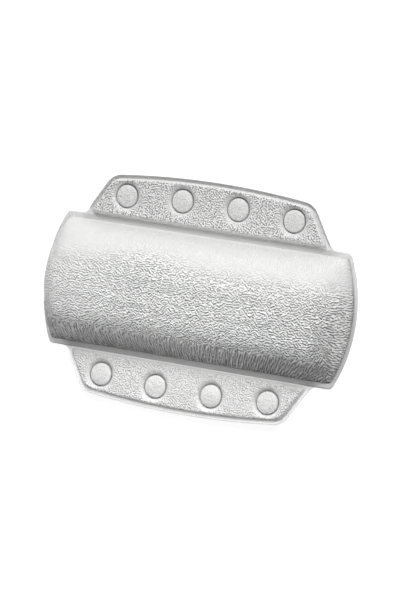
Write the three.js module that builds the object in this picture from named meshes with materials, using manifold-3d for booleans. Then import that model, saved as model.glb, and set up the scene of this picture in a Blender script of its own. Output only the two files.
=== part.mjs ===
// Bath pillow: a crowned foam bolster between two padded flaps, welded up from soft vinyl sheet,
// with a row of suction cups buttoned through the back of each flap.
// Millimetres. +Z points out of the padded face, +X along the bolster, +Y towards the upper flap.
// The origin lies on the plane of the suction cups' lips, under the middle of the bolster.

import * as THREE from "three";
import { mergeVertices } from "three/addons/utils/BufferGeometryUtils.js";
import Module from "manifold-3d";

const wasm = await Module();
wasm.setup();

// Sheets and fits
const sheetThickness = 0.6;
const fitClearance = 0.3;
const cutOverrun = 1;
const deepCutOverrun = 2;

// Bolster
const bolsterLength = 350;
const bolsterEndBow = 16;
const bolsterPadDepth = 126;
const crownHeight = 38;
const crownEndLength = 30;
const channelWidth = 6;
const endWeldWidth = 4.5;
const bolsterCornerReach = 5;
const foamEdgeHeight = 0.2;
const cornerFullness = 28;
const ridgeFullness = 3;
const fullnessCrowding = 12;
const crownFlatness = 3;
const wallFullness = 1.2;
const ridgeShare = 0.06;

// Flaps, measured from their hinge line
const flapRootSetback = 20.5;
const flapTaper = 25.5;
const flapDepth = 49.6;
const flapEdgeBow = 7.1;
const flapWeldWidth = 3.8;
const flapHingeWeldWidth = 1.2;
const flapRootReach = 5;
const flapCornerReach = 10;
const padHeight = 6.2;
const padEdgeWidth = 4.5;
const padRootReach = 8;
const padCornerReach = 8;
const hingeBevelAngle = THREE.MathUtils.degToRad(30);

// Round welds on the flaps, one in front of each suction cup
const discsPerFlap = 4;
const discEndInset = 18.95;
const discRowShift = 2;
const discRowBow = 3.5;
const ringWeldInnerRadius = 11.5;
const ringWeldWidth = 1;
const ringShoulderWidth = 3.6;
const discDrop = 0.6;
const discFullness = 3;

// Suction cups
const cupRadius = 19;
const cupHeight = 10.7;
const lipWidth = 2;
const lipThickness = 0.9;
const cupCrownRadius = 6.2;
const cupCrownHeight = 1.6;
const cupHollowDepth = 5.2;
const neckRadius = 3.1;
const headRadius = 7;
const headThickness = 1.6;
const headRoundWidth = 1;
const headRoundHeight = 0.6;

// Fineness of the curved surfaces
const roundSegments = 16;
const cupSegments = 24;
const curveSteps = 3;
const bowSteps = 6;
const edgeSteps = 2;
const discSteps = 3;
const crownRings = 8;
const ringCrowding = 1.6;
const endRayShares = [0, 0.4, 0.7, 0.88, 1];
const ridgeStations = 2;
const mergeTolerance = 1e-4;

// Levels and lines that follow from the sizes above
const backLevel = cupHeight + fitClearance;
const weldLevel = backLevel + sheetThickness;
const crownTop = weldLevel + crownHeight;
const hingeY = bolsterPadDepth / 2 + channelWidth;
const hingeGap = fitClearance / 2;
const bolsterCornerLength = bolsterLength - 2 * bolsterEndBow;
const flapRootLength = bolsterCornerLength - 2 * flapRootSetback;
const flapCornerLength = flapRootLength - 2 * flapTaper;
const flapCornerDepth = flapDepth - flapEdgeBow;
const discPitch = (flapCornerLength - 2 * discEndInset) / (discsPerFlap - 1);
const discRowDepth = flapDepth / 2 + discRowShift;

const vinyl = new THREE.MeshStandardMaterial({ color: 0xe6e6e5, roughness: 0.45, metalness: 0 });
const backVinyl = new THREE.MeshStandardMaterial({ color: 0xe2e2e0, roughness: 0.55, metalness: 0 });
const foam = new THREE.MeshStandardMaterial({ color: 0xf1eee2, roughness: 0.95, metalness: 0 });
const clearVinyl = new THREE.MeshStandardMaterial({
  color: 0xdfe6e8,
  roughness: 0.15,
  metalness: 0,
  transparent: true,
  opacity: 0.6,
});

// A closed geometry as a solid that can be joined and cut
function solidOf(geometry) {
  const bare = geometry.index ? geometry.toNonIndexed() : geometry.clone();
  bare.deleteAttribute("normal");
  bare.deleteAttribute("uv");
  const merged = mergeVertices(bare, mergeTolerance);
  return new wasm.Manifold(
    new wasm.Mesh({
      numProp: 3,
      vertProperties: merged.attributes.position.array,
      triVerts: new Uint32Array(merged.index.array),
    }),
  );
}

// A solid as a named mesh of the scene
function meshOf(name, solid, material) {
  const cut = solid.getMesh();
  const positions = new Float32Array(cut.numVert * 3);
  for (let i = 0; i < cut.numVert; i++) {
    positions.set(cut.vertProperties.subarray(i * cut.numProp, i * cut.numProp + 3), i * 3);
  }
  const geometry = new THREE.BufferGeometry();
  geometry.setAttribute("position", new THREE.BufferAttribute(positions, 3));
  geometry.setIndex(new THREE.BufferAttribute(cut.triVerts, 1));
  geometry.computeVertexNormals();
  const mesh = new THREE.Mesh(geometry, material);
  mesh.name = name;
  return mesh;
}

// A flat plate with an outline and round holes, from one level up to another. A full circle takes
// twice the given number of segments.
function plate(outline, holes, low, high) {
  const shape = new THREE.Shape(outline);
  for (const { x, y, radius } of holes) {
    const hole = new THREE.Path();
    hole.absarc(x, y, radius, 0, 2 * Math.PI, true);
    shape.holes.push(hole);
  }
  const geometry = new THREE.ExtrudeGeometry(shape, {
    depth: high - low,
    bevelEnabled: false,
    curveSegments: roundSegments / 2,
  });
  geometry.translate(0, 0, low);
  return solidOf(geometry);
}

// A closed solid through rings of the same number of points, each counterclockwise, from the bottom up
function loft(rings) {
  const count = rings[0].length;
  const positions = rings.flat().flatMap((p) => [p.x, p.y, p.z]);
  const index = [];
  for (let ring = 0; ring + 1 < rings.length; ring++) {
    for (let i = 0; i < count; i++) {
      const a = ring * count + i;
      const b = ring * count + ((i + 1) % count);
      index.push(a, b, b + count, a, b + count, a + count);
    }
  }
  const flat = (ring) => ring.map((p) => new THREE.Vector2(p.x, p.y));
  for (const [a, b, c] of THREE.ShapeUtils.triangulateShape(flat(rings[0]), [])) {
    index.push(a, c, b);
  }
  const last = (rings.length - 1) * count;
  for (const [a, b, c] of THREE.ShapeUtils.triangulateShape(flat(rings.at(-1)), [])) {
    index.push(last + a, last + b, last + c);
  }
  const geometry = new THREE.BufferGeometry();
  geometry.setAttribute("position", new THREE.Float32BufferAttribute(positions, 3));
  geometry.setIndex(index);
  return solidOf(geometry);
}

// A solid turned about the vertical line through a place, from a profile of radius and level
function turned(profile, segments, place = { x: 0, y: 0 }) {
  const points = profile.map(([radius, level]) => new THREE.Vector2(radius, level));
  const outwards = THREE.ShapeUtils.area(points) > 0 ? points : points.reverse();
  const closed = outwards[0].x > 0 ? [...outwards, outwards[0]] : outwards;
  const geometry = new THREE.LatheGeometry(closed, segments);
  geometry.rotateX(Math.PI / 2);
  geometry.translate(place.x, place.y, 0);
  return solidOf(geometry);
}

// Points on a quarter of an ellipse, from its side to its top, as shares of its half axes. A fullness
// above 2 swells it towards its corner.
function quarter(steps, fullness = 2) {
  return Array.from({ length: steps + 1 }, (_, i) => {
    const angle = ((Math.PI / 2) * i) / steps;
    const across = i < steps ? Math.cos(angle) ** (2 / fullness) : 0;
    return { across, up: Math.sin(angle) ** (2 / fullness) };
  });
}

// The rounded corner between two directions, as a curve that starts and ends at a reach from it
function roundedCorner(corner, from, to, reach, steps) {
  const start = corner.clone().addScaledVector(from, reach);
  const end = corner.clone().addScaledVector(to, reach);
  return new THREE.QuadraticBezierCurve(start, corner, end).getPoints(steps);
}

// The circle through the ends and the middle of a bowed edge
function bow(halfChord, rise) {
  return (halfChord * halfChord + rise * rise) / (2 * rise);
}

// Bolster

// The weld flange's ends are arcs, which the foam pad follows at the end weld's width
const endRadius = bow(hingeY, bolsterEndBow);
const endCentre = bolsterLength / 2 - endRadius;

function bolsterOutline() {
  const corner = new THREE.Vector2(bolsterCornerLength / 2, hingeY);
  const angle = Math.asin(hingeY / endRadius);
  const alongArc = new THREE.Vector2(Math.sin(angle), -Math.cos(angle));
  const alongHinge = new THREE.Vector2(-1, 0);
  const rounded = roundedCorner(corner, alongArc, alongHinge, bolsterCornerReach, curveSteps);
  const arc = [];
  const start = Math.asin((hingeY - bolsterCornerReach * Math.cos(angle)) / endRadius);
  for (let i = 0; i < bowSteps; i++) {
    const turn = (start * i) / bowSteps;
    arc.push(new THREE.Vector2(endCentre + endRadius * Math.cos(turn), endRadius * Math.sin(turn)));
  }
  const upperRight = [...arc, ...rounded];
  const upperLeft = upperRight.map((p) => new THREE.Vector2(-p.x, p.y)).reverse();
  const upper = [...upperRight, ...upperLeft];
  const lower = upper.slice(1, -1).map((p) => new THREE.Vector2(p.x, -p.y));
  return [...upper, ...lower.reverse()];
}

// Directions round an end, from the lower side to the upper one, closest together at the corners
const endRays = (() => {
  const toCorner = endRayShares.map((share) => Math.atan(share));
  const toSide = toCorner.slice(0, -1).map((angle) => Math.PI / 2 - angle);
  const upper = [...toCorner, ...toSide.reverse()];
  const lower = upper.slice(1).map((angle) => -angle);
  return [...lower.reverse(), ...upper];
})();

// One level line of the crown: share is 1 at the edge of the pad and 0 on its ridge
function crownRing(share, inset, level) {
  const halfDepth = bolsterPadDepth / 2 - inset;
  const padRadius = endRadius - endWeldWidth - inset;
  // The level lines have sharp corners at the foot and round ones near the ridge
  const fullness = ridgeFullness + (cornerFullness - ridgeFullness) * share ** fullnessCrowding;
  const end = endRays.map((angle) => {
    const cos = Math.cos(angle);
    const sin = Math.sin(angle);
    const sharp = Math.abs(cos) ** fullness + Math.abs(sin) ** fullness;
    const reach = share / sharp ** (1 / fullness);
    const y = halfDepth * reach * sin;
    const edge = endCentre + Math.sqrt(padRadius * padRadius - y * y);
    return new THREE.Vector3(edge - crownEndLength + crownEndLength * reach * cos, y, level);
  });
  const last = end.at(-1);
  const ridge = [];
  for (let i = 1; i <= ridgeStations; i++) {
    const x = last.x * (1 - (2 * i) / (ridgeStations + 1));
    ridge.push(new THREE.Vector3(x, last.y, level));
  }
  const half = [...end, ...ridge];
  return [...half, ...half.map((p) => new THREE.Vector3(-p.x, -p.y, level))];
}

// The crowned body inside the bolster's outline: flat along the top, rounding over to steep walls
function crown(inset, bottom, edge, top) {
  const rings = [crownRing(1, inset, bottom)];
  for (let i = 0; i < crownRings; i++) {
    const share = 1 - (1 - ridgeShare) * (i / (crownRings - 1)) ** ringCrowding;
    const up = (1 - share ** crownFlatness) ** (1 / wallFullness);
    rings.push(crownRing(share, inset, edge + (top - edge) * up));
  }
  return loft(rings);
}

// The sliver that is taken off a sheet's edge at a hinge line, so that the two sides can fold
function hingeBevel(side, level, up) {
  const slope = sheetThickness / Math.tan(hingeBevelAngle);
  const over = cutOverrun / Math.tan(hingeBevelAngle);
  const beyond = hingeGap + cutOverrun;
  const section = [
    [-hingeGap, 0],
    [-hingeGap - slope - over, sheetThickness + cutOverrun],
    [beyond, sheetThickness + cutOverrun],
    [beyond, 0],
  ];
  const outline = section.map(([y, z]) => new THREE.Vector2(side * y, up * z));
  if (THREE.ShapeUtils.area(outline) < 0) outline.reverse();
  const length = flapRootLength + 2 * (flapRootReach + cutOverrun);
  const geometry = new THREE.ExtrudeGeometry(new THREE.Shape(outline), {
    depth: length,
    bevelEnabled: false,
  });
  geometry.rotateX(Math.PI / 2);
  geometry.rotateZ(Math.PI / 2);
  geometry.translate(-length / 2, 0, level);
  return solidOf(geometry);
}

function bolsterSheet(low, high, up) {
  const bevel = hingeBevel(1, weldLevel, up);
  return plate(bolsterOutline(), [], low, high)
    .subtract(bevel.translate([0, hingeY, 0]))
    .subtract(bevel.rotate([0, 0, 180]).translate([0, -hingeY, 0]));
}

function bolsterFrontCover() {
  const skin = crown(0, weldLevel, weldLevel + sheetThickness, crownTop);
  const hollow = crown(sheetThickness, weldLevel - cutOverrun, weldLevel, crownTop - sheetThickness);
  return bolsterSheet(weldLevel, weldLevel + sheetThickness, 1).add(skin).subtract(hollow);
}

function bolsterFoam() {
  const inset = sheetThickness + fitClearance;
  const bottom = weldLevel + fitClearance;
  return crown(inset, bottom, bottom + foamEdgeHeight, crownTop - inset);
}

// Flaps, in a frame with its origin on the hinge line, at the level of the weld

const flapBowRadius = bow(flapCornerLength / 2, flapEdgeBow);

// The flap's outline drawn in by an inset. A negative root reach flares the root instead of rounding it.
function flapOutline(inset, hingeEdge, rootReach, cornerReach) {
  const root = new THREE.Vector2(flapRootLength / 2, 0);
  const tip = new THREE.Vector2(flapCornerLength / 2, flapCornerDepth);
  const along = tip.clone().sub(root).normalize();
  const inwards = new THREE.Vector2(-along.y, along.x);
  const start = root.clone().addScaledVector(inwards, inset);
  const rootCorner = start.clone().addScaledVector(along, (hingeEdge - start.y) / along.y);
  // Where the side meets the bowed outer edge
  const radius = flapBowRadius - inset;
  const centreY = flapDepth - flapBowRadius;
  const fromCentre = rootCorner.clone().sub(new THREE.Vector2(0, centreY));
  const half = fromCentre.dot(along);
  const run = -half + Math.sqrt(half * half - fromCentre.lengthSq() + radius * radius);
  const tipCorner = rootCorner.clone().addScaledVector(along, run);
  const bowAngle = Math.asin(tipCorner.x / radius);
  const alongBow = new THREE.Vector2(-Math.cos(bowAngle), Math.sin(bowAngle));
  const back = along.clone().negate();
  const outwards = new THREE.Vector2(-Math.sign(rootReach), 0);
  const right = [
    ...roundedCorner(rootCorner, outwards, along, Math.abs(rootReach), curveSteps),
    ...roundedCorner(tipCorner, back, alongBow, cornerReach, curveSteps),
  ];
  const bowStart = bowAngle - cornerReach / radius;
  for (let i = 1; i <= bowSteps; i++) {
    const turn = bowStart * (1 - i / bowSteps);
    right.push(new THREE.Vector2(radius * Math.sin(turn), centreY + radius * Math.cos(turn)));
  }
  const left = right.slice(0, -1).map((p) => new THREE.Vector2(-p.x, p.y));
  return [...right, ...left.reverse()];
}

const discPlaces = Array.from({ length: discsPerFlap }, (_, i) => {
  const across = (2 * i) / (discsPerFlap - 1) - 1;
  return {
    x: discPitch * (i - (discsPerFlap - 1) / 2),
    y: discRowDepth - discRowBow * across * across,
  };
});

// The padded body of a flap, with rounded edges, drawn in by an inset
function flapPad(inset, bottom) {
  const edge = padEdgeWidth - inset;
  const rise = padHeight - inset - sheetThickness;
  const ringAt = (drawnIn, level) =>
    flapOutline(
      flapWeldWidth + drawnIn,
      flapHingeWeldWidth + drawnIn,
      padRootReach,
      padCornerReach,
    ).map((p) => new THREE.Vector3(p.x, p.y, level));
  const rings = [ringAt(inset, bottom)];
  for (const { across, up } of quarter(edgeSteps)) {
    rings.push(ringAt(inset + edge * (1 - across), sheetThickness + rise * up));
  }
  return loft(rings);
}

// What a round weld takes out of the pad: a bowl with a rounded shoulder
function ringBowl(inset, place) {
  const floorRadius = ringWeldInnerRadius + ringWeldWidth + inset;
  const brimRadius = ringWeldInnerRadius + ringWeldWidth + ringShoulderWidth;
  const top = padHeight - inset;
  const wall = quarter(edgeSteps).map(({ across, up }) => [
    brimRadius - (brimRadius - floorRadius) * across,
    sheetThickness + (top - sheetThickness) * up,
  ]);
  const high = padHeight + cutOverrun;
  const profile = [
    [0, -deepCutOverrun],
    [floorRadius, -deepCutOverrun],
    ...wall,
    [brimRadius, high],
    [0, high],
  ];
  return turned(profile, roundSegments, place);
}

// The small dome inside a round weld
function discDome(inset, bottom, place) {
  const radius = ringWeldInnerRadius - inset;
  const rise = padHeight - discDrop - sheetThickness - inset;
  const dome = quarter(discSteps, discFullness).map(({ across, up }) => [radius * across, sheetThickness + rise * up]);
  return turned([[0, bottom], [radius, bottom], ...dome], roundSegments, place);
}

function flapFrontCover() {
  const inset = sheetThickness;
  const bevel = hingeBevel(-1, 0, 1);
  const outline = flapOutline(0, hingeGap, -flapRootReach, flapCornerReach);
  let skin = flapPad(0, 0);
  let hollow = flapPad(inset, -cutOverrun);
  for (const place of discPlaces) {
    skin = skin.subtract(ringBowl(0, place)).add(discDome(0, 0, place));
    hollow = hollow.subtract(ringBowl(inset, place)).add(discDome(inset, -cutOverrun, place));
  }
  return plate(outline, [], 0, sheetThickness).subtract(bevel).add(skin).subtract(hollow);
}

function flapBackCover() {
  const holes = discPlaces.map((place) => ({ ...place, radius: neckRadius + fitClearance }));
  const outline = flapOutline(0, hingeGap, -flapRootReach, flapCornerReach);
  return plate(outline, holes, -sheetThickness, 0).subtract(hingeBevel(-1, 0, -1));
}

function flapFoam() {
  const inset = sheetThickness + fitClearance;
  let pad = flapPad(inset, fitClearance);
  for (const place of discPlaces) pad = pad.subtract(ringBowl(inset, place));
  return pad;
}

// The foam trapped inside a round weld, hollowed underneath for the cup's button head
function discFoam() {
  const recessRadius = headRadius + fitClearance;
  const recessTop = headThickness + 2 * fitClearance;
  const recess = [[0, -cutOverrun], [recessRadius, -cutOverrun], [recessRadius, recessTop], [0, recessTop]];
  return discDome(sheetThickness + fitClearance, fitClearance, { x: 0, y: 0 }).subtract(
    turned(recess, roundSegments),
  );
}

// A suction cup with its lip on level 0: bell, neck through the sheet, and button head above it
function suctionCup() {
  const innerRadius = cupRadius - lipWidth;
  const bellTop = cupHeight - cupCrownHeight;
  const bellShares = [[0.6, 0.28], [0.2, 0.78]];
  const bell = bellShares.map(([out, up]) => [
    cupCrownRadius + (cupRadius - cupCrownRadius) * out,
    lipThickness + (bellTop - lipThickness) * up,
  ]);
  const hollowShares = [[0.6, 0.66]];
  const hollow = hollowShares.map(([out, up]) => [innerRadius * out, cupHollowDepth * up]);
  const headLow = weldLevel + fitClearance;
  const headHigh = headLow + headThickness;
  const profile = [
    [innerRadius, 0],
    [cupRadius, 0],
    [cupRadius, lipThickness],
    ...bell,
    [cupCrownRadius, bellTop],
    [cupCrownRadius, cupHeight],
    [neckRadius, cupHeight],
    [neckRadius, headLow],
    [headRadius, headLow],
    [headRadius, headHigh - headRoundHeight],
    [headRadius - headRoundWidth, headHigh],
    [0, headHigh],
    [0, cupHollowDepth],
    ...hollow.reverse(),
  ];
  return turned(profile, cupSegments);
}

const flapFrontSolid = flapFrontCover();
const flapBackSolid = flapBackCover();
const flapFoamSolid = flapFoam();
const discFoamSolid = discFoam();
const cupSolid = suctionCup();

// One flap with everything on it, in the flap's own frame
function flap(name) {
  const group = new THREE.Group();
  group.add(
    meshOf(`${name}_flap_front_cover`, flapFrontSolid, vinyl),
    meshOf(`${name}_flap_back_cover`, flapBackSolid, backVinyl),
    meshOf(`${name}_flap_foam`, flapFoamSolid, foam),
  );
  discPlaces.forEach((place, i) => {
    const disc = meshOf(`${name}_foam_disc_${i + 1}`, discFoamSolid, foam);
    disc.position.set(place.x, place.y, 0);
    const cup = meshOf(`${name}_suction_cup_${i + 1}`, cupSolid, clearVinyl);
    cup.position.set(place.x, place.y, -weldLevel);
    group.add(disc, cup);
  });
  return group;
}

const upperFlap = flap("upper");
upperFlap.position.set(0, hingeY, weldLevel);

const lowerFlap = flap("lower");
lowerFlap.position.set(0, -hingeY, weldLevel);
lowerFlap.rotation.z = Math.PI;

const bolster = new THREE.Group();
bolster.add(
  meshOf("bolster_front_cover", bolsterFrontCover(), vinyl),
  meshOf("bolster_foam", bolsterFoam(), foam),
  meshOf("bolster_back_cover", bolsterSheet(backLevel, weldLevel, -1), backVinyl),
);

const pillow = new THREE.Group();
pillow.add(bolster, upperFlap, lowerFlap);

export default pillow;
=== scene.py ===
# %% [markdown]
# # A bath pillow of welded vinyl
#
# This lesson dresses a bath pillow that has already been designed as solid parts. The solids give
# every size and every hinge. Blender adds what solids can't show: the swelling of the foam, the
# gathers along the welds and the leather grain that is pressed into the vinyl.
#
# The model is loaded first, as a fixed frame.

# %% Load the frame
import math
import bmesh
import bpy
import numpy as np
from mathutils import Matrix, Vector, noise


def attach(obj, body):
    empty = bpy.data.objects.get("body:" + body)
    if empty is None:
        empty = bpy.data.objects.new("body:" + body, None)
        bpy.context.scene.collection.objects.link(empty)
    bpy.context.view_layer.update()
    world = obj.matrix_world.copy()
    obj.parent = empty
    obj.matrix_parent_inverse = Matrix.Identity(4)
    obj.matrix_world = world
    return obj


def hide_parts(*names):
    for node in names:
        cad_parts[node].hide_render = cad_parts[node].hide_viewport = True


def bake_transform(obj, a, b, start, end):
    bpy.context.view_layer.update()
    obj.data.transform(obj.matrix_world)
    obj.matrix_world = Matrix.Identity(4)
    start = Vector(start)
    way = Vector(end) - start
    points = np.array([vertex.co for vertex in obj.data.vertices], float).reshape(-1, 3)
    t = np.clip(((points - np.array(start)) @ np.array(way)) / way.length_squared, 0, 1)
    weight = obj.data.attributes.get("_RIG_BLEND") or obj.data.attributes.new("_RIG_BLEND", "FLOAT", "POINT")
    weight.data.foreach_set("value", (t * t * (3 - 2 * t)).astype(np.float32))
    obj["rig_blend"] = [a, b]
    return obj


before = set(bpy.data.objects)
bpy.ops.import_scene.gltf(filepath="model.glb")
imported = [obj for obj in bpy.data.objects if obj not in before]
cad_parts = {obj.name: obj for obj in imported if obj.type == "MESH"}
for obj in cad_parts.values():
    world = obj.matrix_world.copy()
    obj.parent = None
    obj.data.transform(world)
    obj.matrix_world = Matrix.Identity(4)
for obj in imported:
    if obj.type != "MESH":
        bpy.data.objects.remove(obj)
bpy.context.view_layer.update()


# %% [markdown]
# ## Where the camera stands
#
# The photograph was taken from above, about 24 degrees to one side, with the pillow turned 9 degrees
# in the picture. A long lens from four metres keeps the two long edges almost parallel. The angles
# were found by matching corners, so they are written here as three turns, in degrees.

# %% Camera
def turn(angle, axis):
    return Matrix.Rotation(math.radians(angle), 3, axis)


turned_in_picture = -9.20
sideways = -24.33
tilt = -1.96
distance = 4.063
aim = Vector((0, 0, 0.012))
# From the object's axes to the camera's
to_camera = turn(tilt, "X") @ turn(sideways, "Y") @ turn(turned_in_picture, "Z")
camera_data = bpy.data.cameras.new("camera")
camera_data.lens = 239.6
camera_data.shift_x = 0.0042
camera_data.shift_y = -0.0032
camera = bpy.data.objects.new("camera", camera_data)
to_object = to_camera.transposed()
camera_place = aim + to_object @ Vector((0, 0, distance))
camera.matrix_world = Matrix.Translation(camera_place) @ to_object.to_4x4()
bpy.context.scene.collection.objects.link(camera)
bpy.context.scene.camera = camera
print("camera at", [round(c, 3) for c in camera.location])


# %% [markdown]
# ## Soft light on a pale floor
#
# A product picture on white is lit by a few soft lights, and its floor is almost burnt out. One large
# light could do, but the photograph shows three things at once: the bolster's lower wall in shade,
# both flaps bright, and crisp grain. So three round lights stand low round the pillow, the strongest
# beyond its upper flap, and two narrow strips close above the lower flap brighten that flap alone.

# %% Lights
def soft_light(name, azimuth, elevation, distance, size, power, aim_at=(0, 0, 0), length=None):
    """A soft light in a direction given in degrees, round, or a strip if it has a length"""
    a = math.radians(azimuth)
    e = math.radians(elevation)
    offset = Vector((math.cos(a) * math.cos(e), math.sin(a) * math.cos(e), math.sin(e))) * distance
    light = bpy.data.lights.new(name, "AREA")
    light.shape = "RECTANGLE" if length else "DISK"
    light.size = length or size
    light.size_y = size
    light.energy = power
    holder = bpy.data.objects.new(name, light)
    facing_in = (-offset).to_track_quat("-Z", "Y").to_matrix().to_4x4()
    holder.matrix_world = Matrix.Translation(Vector(aim_at) + offset) @ facing_in
    holder.visible_camera = False
    bpy.context.scene.collection.objects.link(holder)
    return holder


soft_light("key_light", azimuth=106, elevation=33, distance=1.8, size=0.35, power=19.5)
soft_light("right_light", azimuth=37, elevation=40, distance=1.8, size=0.6, power=18)
soft_light("left_light", azimuth=180, elevation=30, distance=1.8, size=0.6, power=4.5)
strip = {"size": 0.05, "aim_at": (0, -0.10, 0.012), "length": 0.34}
soft_light("strip_light", azimuth=90, elevation=68, distance=0.20, power=0.185, **strip)
soft_light("low_strip_light", azimuth=-90, elevation=78, distance=0.21, power=0.06, **strip)
surround = bpy.data.worlds.new("surround")
surround.use_nodes = True
sky = surround.node_tree.nodes["Background"]
sky.inputs["Color"].default_value = (1, 1, 1, 1)
sky.inputs["Strength"].default_value = 0.02
bpy.context.scene.world = surround
bpy.context.scene.view_settings.view_transform = "Standard"
print("five soft lights and a faint surround")


# %% [markdown]
# ## Writing shader maths as sums
#
# A material is a tree of nodes, and maths in it soon becomes hard to read. A small class wraps one
# socket, so that `1 - mask` adds the Math node by itself. One method adds any other kind of node.

# %% Shader helper
class Wire:
    def __init__(self, tree, socket=None):
        self.tree = tree
        self.socket = socket

    def node(self, kind, settings=None, inputs=None, out=0):
        made = self.tree.nodes.new("ShaderNode" + kind)
        for name, value in (settings or {}).items():
            setattr(made, name, value)
        for key, value in (inputs or {}).items():
            if isinstance(value, Wire):
                self.tree.links.new(value.socket, made.inputs[key])
            else:
                made.inputs[key].default_value = value
        return Wire(self.tree, made.outputs[out])

    def math(self, operation, *others):
        settings = {"operation": operation}
        return self.node("Math", settings, dict(enumerate((self, *others))))

    def __add__(self, other):
        return self.math("ADD", other)

    def __mul__(self, other):
        return self.math("MULTIPLY", other)

    def __sub__(self, other):
        return self.math("SUBTRACT", other)

    def __rsub__(self, other):
        return self.node("Math", {"operation": "SUBTRACT"}, {0: other, 1: self})

    def __abs__(self):
        return self.math("ABSOLUTE")

    __radd__ = __add__
    __rmul__ = __mul__

    def part(self, axis):
        return self.node("SeparateXYZ", {}, {0: self}, out=axis)

    def clouds(self, scale, detail):
        """Noise at this place, with a scale in waves to the metre"""
        return self.node("TexNoise", {}, {"Vector": self, "Scale": scale, "Detail": detail})

    def bump(self, depth):
        """The normal of a surface with this height, where 1 is a depth in metres"""
        return self.node("Bump", {}, {"Height": self, "Strength": 1.0, "Distance": depth})

    def between(self, low, high):
        """0 below low, 1 above high, and smooth between them"""
        inputs = {"Value": self, "From Min": low, "From Max": high}
        return self.node("MapRange", {"interpolation_type": "SMOOTHSTEP"}, inputs)

    def tint(self, dark, light):
        """A colour from dark, where this value is 0, to light, where it is 1"""
        inputs = {"Factor": self, 6: (*dark, 1), 7: (*light, 1)}
        return self.node("Mix", {"data_type": "RGBA"}, inputs, out=2)


def new_material(name, **constants):
    """A material, the start of its tree, and its surface shader"""
    material = bpy.data.materials.new(name)
    material.use_nodes = True
    shader = material.node_tree.nodes["Principled BSDF"]
    for socket, value in constants.items():
        shader.inputs[socket.replace("_", " ")].default_value = value
    return material, Wire(material.node_tree), shader


def feed(wire, shader, socket):
    wire.tree.links.new(wire.socket, shader.inputs[socket])


# %% [markdown]
# ## Embossed vinyl
#
# The front sheet is white vinyl with a leather grain: rounded ridges between narrow, winding grooves.
# Cells from a Voronoi texture look like scales, and plain noise looks like clouds. Gabor noise is a
# sum of short waves, and the absolute value of it gives ridges with sharp grooves between them.
#
# Each piece carries four attributes. `lay` holds the direction of the wrinkles, as the cosine and sine
# of twice their angle, so that a turn by half a circle changes nothing. `grain` is 0 on a weld and 1
# on the padding. The third is painted shade: it darkens the places that little light gets into and the
# sides turned away from the lights. The fourth is painted light, a glow that brightens the thin edges.
# The pattern is drawn in the piece's own UV map, whose unit is a metre.

# %% Front vinyl
whitest = (0.90, 0.90, 0.895)
darkest = (0.30, 0.30, 0.30)
wave_rate = 1.6


def front_vinyl(name, spacing, depth, wander, strictness, plain, lift, groove, blotch, wall=(1, 1)):
    """White vinyl whose wrinkles are a spacing apart and whose bump is a depth high, both in metres

    wander and strictness say how far the wrinkles stray from their direction, and wall where in the
    UV map the walls begin. plain is the shade of smooth vinyl, lift what the grain adds to it, groove
    how dark its grooves are, and blotch how uneven the smooth places are.
    """
    material, start, shader = new_material(name, Specular_IOR_Level=0.45, Emission_Strength=0.32)
    flat = start.node("UVMap", {"uv_map": "sheet"})
    grain = start.node("Attribute", {"attribute_name": "grain"}, out="Fac")
    # Painted shade: darker where little light gets in and on the sides turned from the lights
    painted_shade = start.node("Attribute", {"attribute_name": "painted_shade"}, out="Fac")
    lay = start.node("Attribute", {"attribute_name": "lay"}, out="Vector")
    cosine = lay.part("X")
    sine = lay.part("Y")
    drift = flat.clouds(120, 2)
    # Where `lay` is long the wrinkles keep to it, and where it is short they wander
    strict = lay.node("VectorMath", {"operation": "LENGTH"}, {0: lay}, out="Value").between(0.6, 1.2)
    # The waves run across the wrinkles, a quarter turn from them
    stray = (drift - 0.5) * wander * (1 - strict * 0.85)
    across = sine.math("ARCTAN2", cosine) * 0.5 + math.pi / 2 + stray
    # Beyond `wall` the pattern is drawn out, so that the wrinkles there are long, but less at a corner
    u = flat.part("X")
    v = flat.part("Y")
    at_side = abs(v).between(0.030, 0.050)
    at_end = abs(u).between(0.140, 0.160)
    drawn_u = u - (abs(u) - wall[0]).math("MAXIMUM", 0) * u.math("SIGN") * (0.5 - at_side * 0.15)
    drawn_v = v - (abs(v) - wall[1]).math("MAXIMUM", 0) * v.math("SIGN") * (0.65 - at_end * 0.25)
    drawn = flat.node("CombineXYZ", {}, {"X": drawn_u, "Y": drawn_v})
    waves = flat.node("TexGabor", {}, {
        "Vector": drawn,
        "Scale": 1 / (wave_rate * spacing),
        "Frequency": wave_rate,
        "Anisotropy": strictness + strict * (1.0 - strictness),
        4: across,
    }, out="Phase")
    # Broad ridges, and narrow grooves that are deep in some places and almost gone in others
    broken = flat.clouds(300, 1).between(0.30, 0.60)
    ridge = 1 - (1 - abs(waves * 2 - 1).between(0, 0.8)) * (0.35 + broken * 0.65)
    pores = flat.clouds(1300, 3)
    swell = flat.clouds(75, 2)
    blotches = flat.clouds(260, 2)
    height = ridge * grain + pores * 0.06 + swell * 0.5 + blotches * (1.3 - grain) * blotch
    feed(height.bump(depth), shader, "Normal")
    # Painted shade: the grooves are darker, because little light gets into them, and the painted shade
    # attribute darkens creases, channels and shaded sides further
    shade = plain + grain * lift + (ridge - 0.80) * grain * groove - swell * 0.1
    shade = shade.math("MINIMUM", 1) * (1 - painted_shade * 0.8)
    feed(shade.tint(darkest, whitest), shader, "Base Color")
    feed(0.36 + swell * 0.1 + (1 - ridge * grain) * 0.12, shader, "Roughness")
    # Painted light: the thin edges glow by themselves, to brighten flanges that lie in shade
    painted_light = start.node("Attribute", {"attribute_name": "painted_light"}, out="Fac")
    feed(painted_light.tint((0, 0, 0), (1, 1, 1)), shader, "Emission Color")
    return material


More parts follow.
